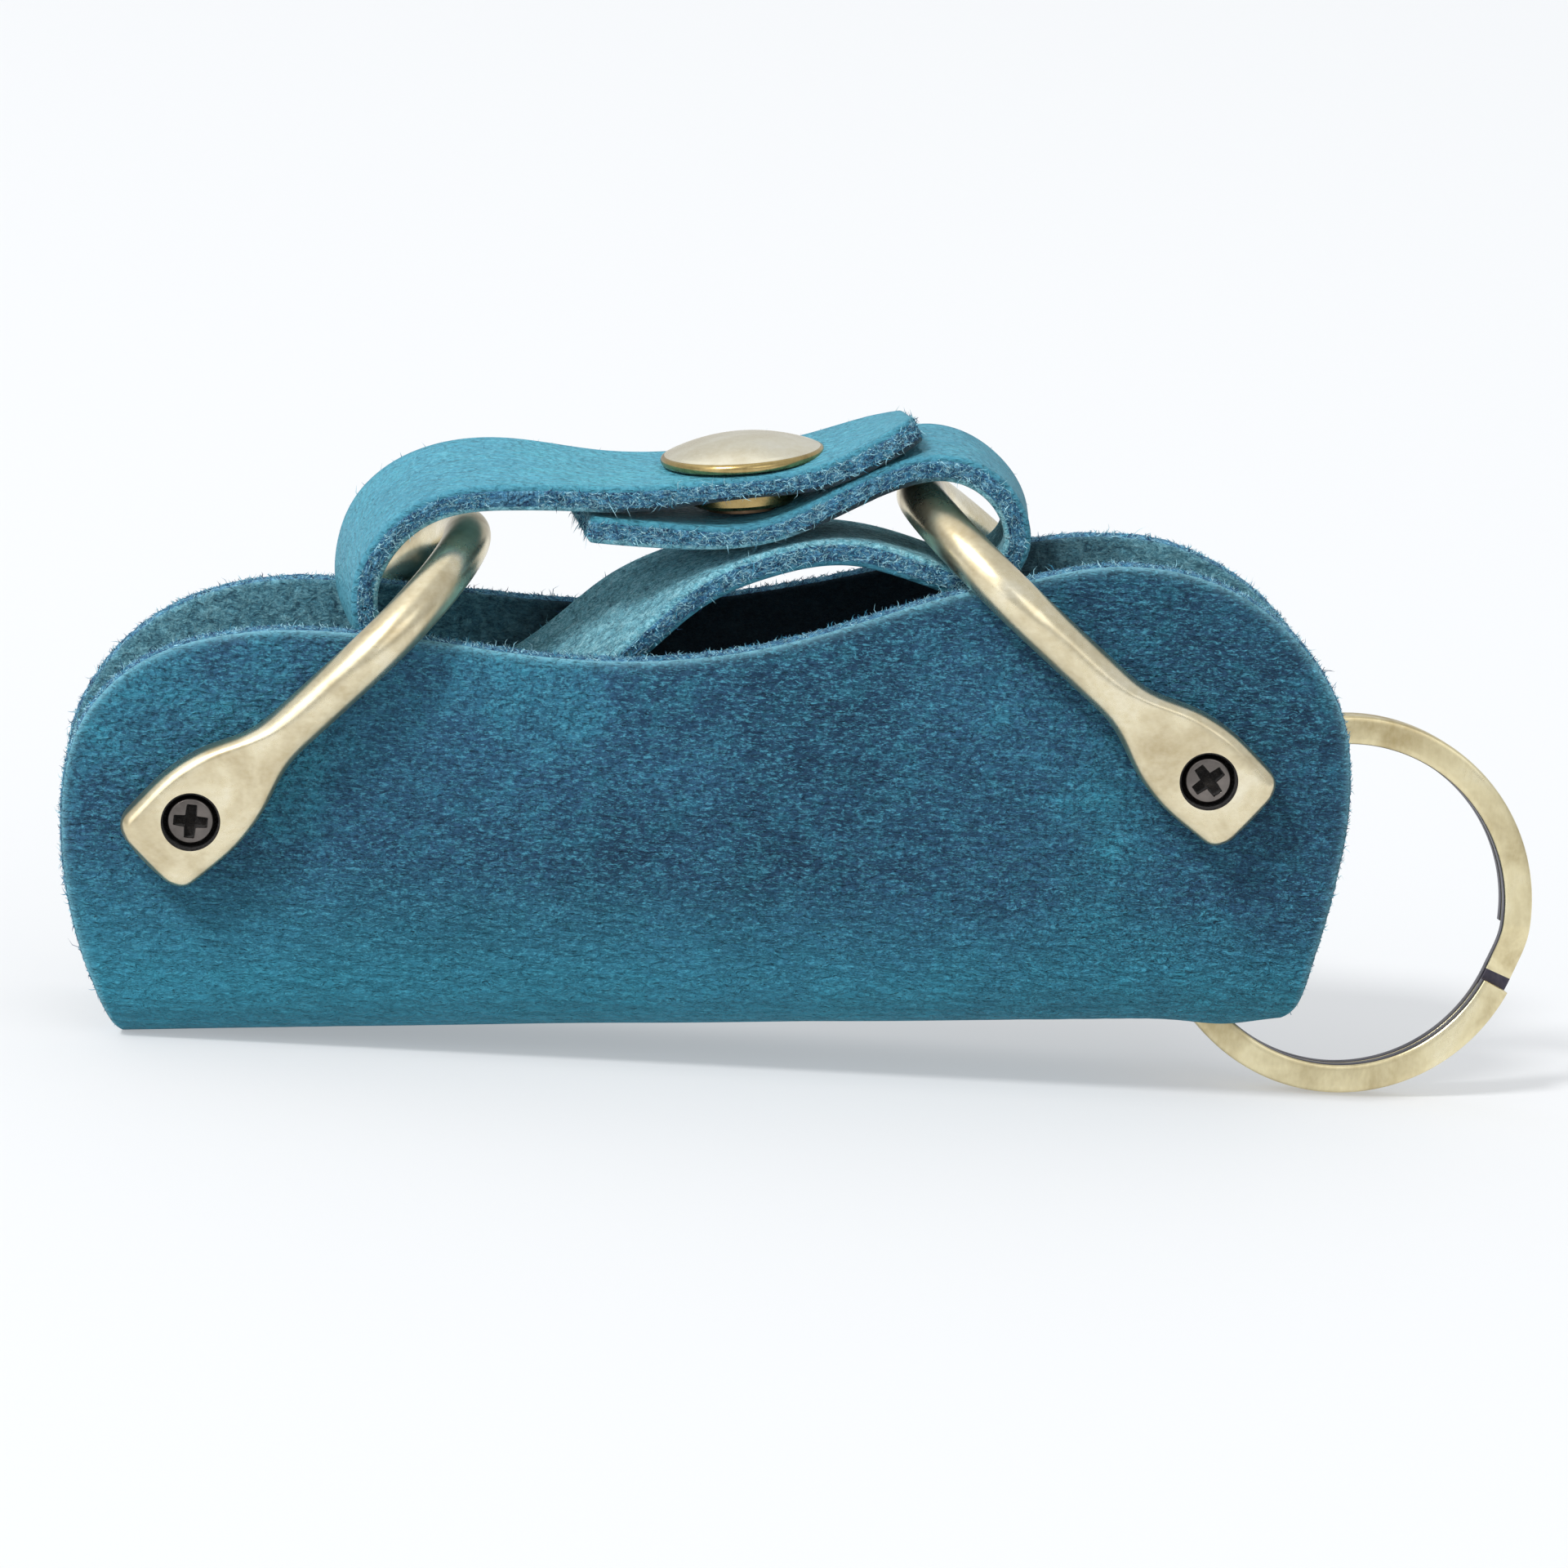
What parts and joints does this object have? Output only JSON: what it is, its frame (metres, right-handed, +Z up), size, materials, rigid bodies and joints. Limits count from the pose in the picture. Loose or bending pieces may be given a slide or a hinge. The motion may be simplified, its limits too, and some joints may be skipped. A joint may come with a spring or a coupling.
{
  "type": "key organiser",
  "caption": "Folded leather key case with a pivoting brass shackle at each end, a snap strap looping the shackles together and a split ring through an eyelet.",
  "frame": {"origin": "middle of the object's box, on the surface that it stands on", "axes": "+X along the fold towards the split ring, +Y through the two flaps towards the back, +Z up; the case leans up to the right because it stands on its left corner and on the ring"},
  "size_m": [0.1171, 0.0282, 0.0517],
  "materials": {
    "case_hide": "oiled nubuck, teal blue, waxy with pull-up marks",
    "strap_hide": "oiled nubuck strap, fuzzy cut edges",
    "shackle_brass": "satin antique brass, hand-polished edges",
    "ring_brass": "brushed antique brass, dark inner faces",
    "snap_brass": "smooth antique brass plate",
    "eyelet_brass": "dull aged brass",
    "post_brass": "plain turned brass",
    "screw_steel": "blackened steel"
  },
  "bodies": {
    "case": {"case_leather": "case_hide", "eyelet": "eyelet_brass", "eyelet_washer": "eyelet_brass", "left_post": "post_brass", "right_post": "post_brass", "left_front_screw": "screw_steel", "left_rear_screw": "screw_steel", "right_front_screw": "screw_steel", "right_rear_screw": "screw_steel"},
    "left_shackle": {"left_shackle": "shackle_brass"},
    "right_shackle": {"right_shackle": "shackle_brass"},
    "strap": {"strap": "strap_hide", "snap_stud": "snap_brass", "snap_stud_rivet": "snap_brass"},
    "tongue": {"strap_tongue": "strap_hide", "snap_cap": "snap_brass", "snap_socket": "snap_brass", "socket_spring": "screw_steel"},
    "ring": {"split_ring": "ring_brass"}
  },
  "joints": [
    {"name": "left_shackle_swing", "type": "hinge", "parent": "case", "child": "left_shackle", "pos_m": [-0.04877, 0, 0.01876], "axis": [0, -1, 0], "range_deg": [0, 7]},
    {"name": "right_shackle_swing", "type": "hinge", "parent": "case", "child": "right_shackle", "pos_m": [0.02959, 0, 0.02741], "axis": [0, 1, 0], "range_deg": [0, 7]},
    {"name": "strap_lift", "type": "slide", "parent": "case", "child": "strap", "axis": [-0.0793, 0, 0.9968], "range_m": [0, 0.00249]},
    {"name": "snap_open", "type": "hinge", "parent": "strap", "child": "tongue", "pos_m": [-0.02057, 0, 0.04624], "axis": [0, -1, 0], "range_deg": [0, 80]},
    {"name": "ring_swing", "type": "hinge", "parent": "case", "child": "ring", "pos_m": [0.03155, 0, 0.00775], "axis": [-0.0364, 0.9952, -0.0903], "range_deg": [0, 62]}
  ],
  "couplings": [
    {"joint": "right_shackle_swing", "follows": "left_shackle_swing", "ratio": 1},
    {"joint": "strap_lift", "follows": "left_shackle_swing", "m_per_rad": 0.020334}
  ]
}
